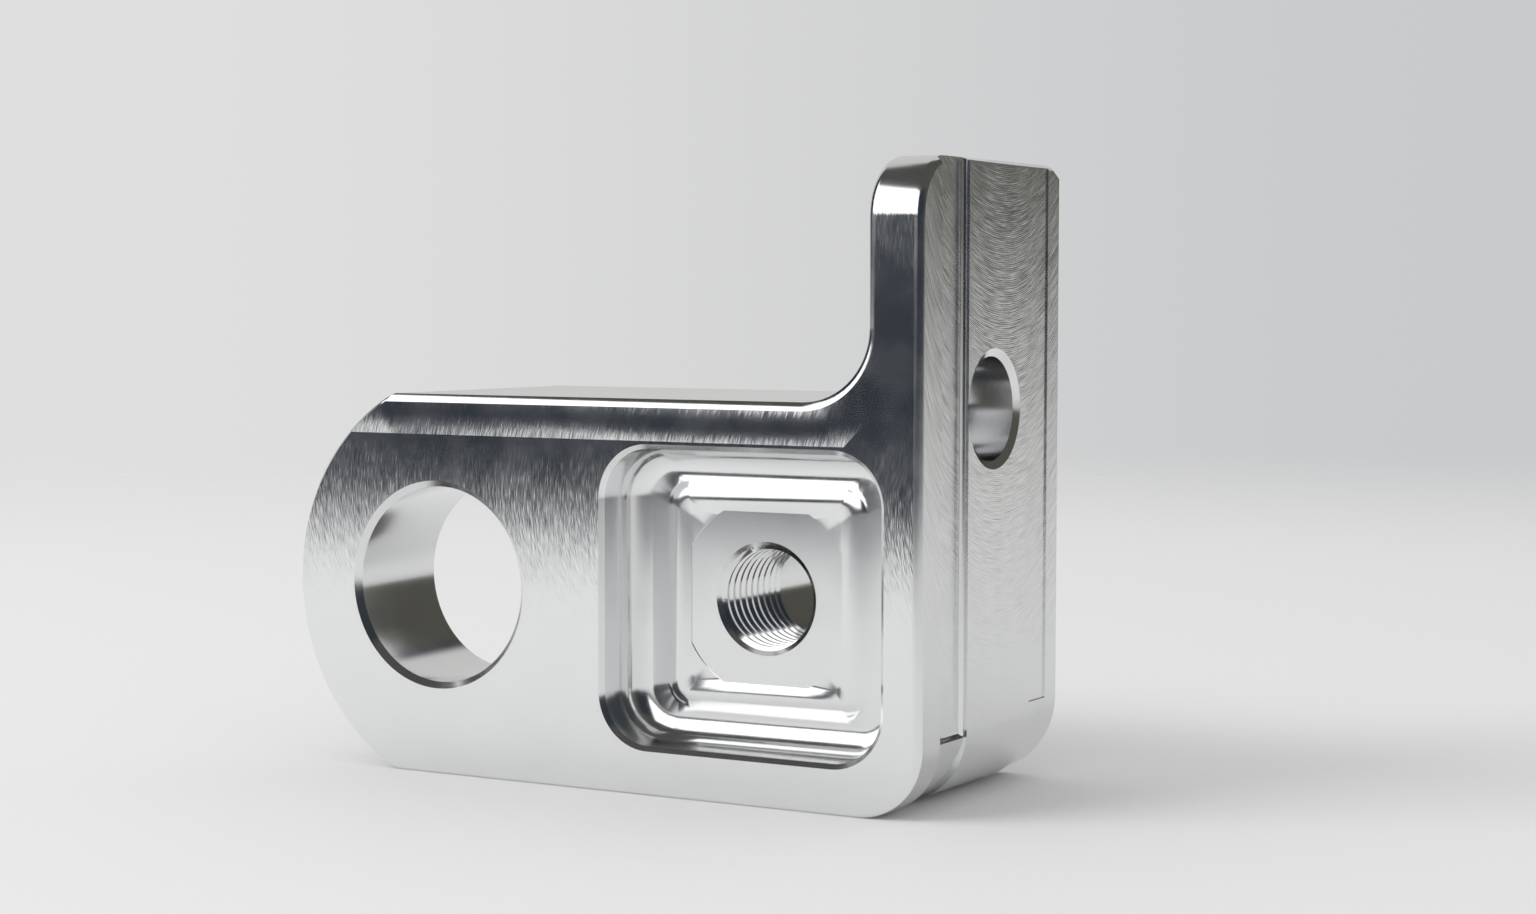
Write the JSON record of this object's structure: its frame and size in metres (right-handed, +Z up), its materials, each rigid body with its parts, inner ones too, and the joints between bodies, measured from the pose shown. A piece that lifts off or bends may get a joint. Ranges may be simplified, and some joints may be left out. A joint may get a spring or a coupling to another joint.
{
  "type": "machined bracket",
  "caption": "One-piece machined aluminium bracket: thick arm with a plain bore in its rounded end, a stepped square pocket round a tapped hole, and a thin upright with a side bore.",
  "frame": {"origin": "under the middle of the part, on the flat underside of the arm", "axes": "+X along the arm from the rounded end to the upright, +Y from the pocketed front face to the back, +Z up"},
  "size_m": [0.0944, 0.04, 0.0804],
  "materials": {
    "aluminium": "as milled, with fine feed marks"
  },
  "bodies": {
    "root": {"bracket_body": "aluminium"}
  },
  "joints": []
}
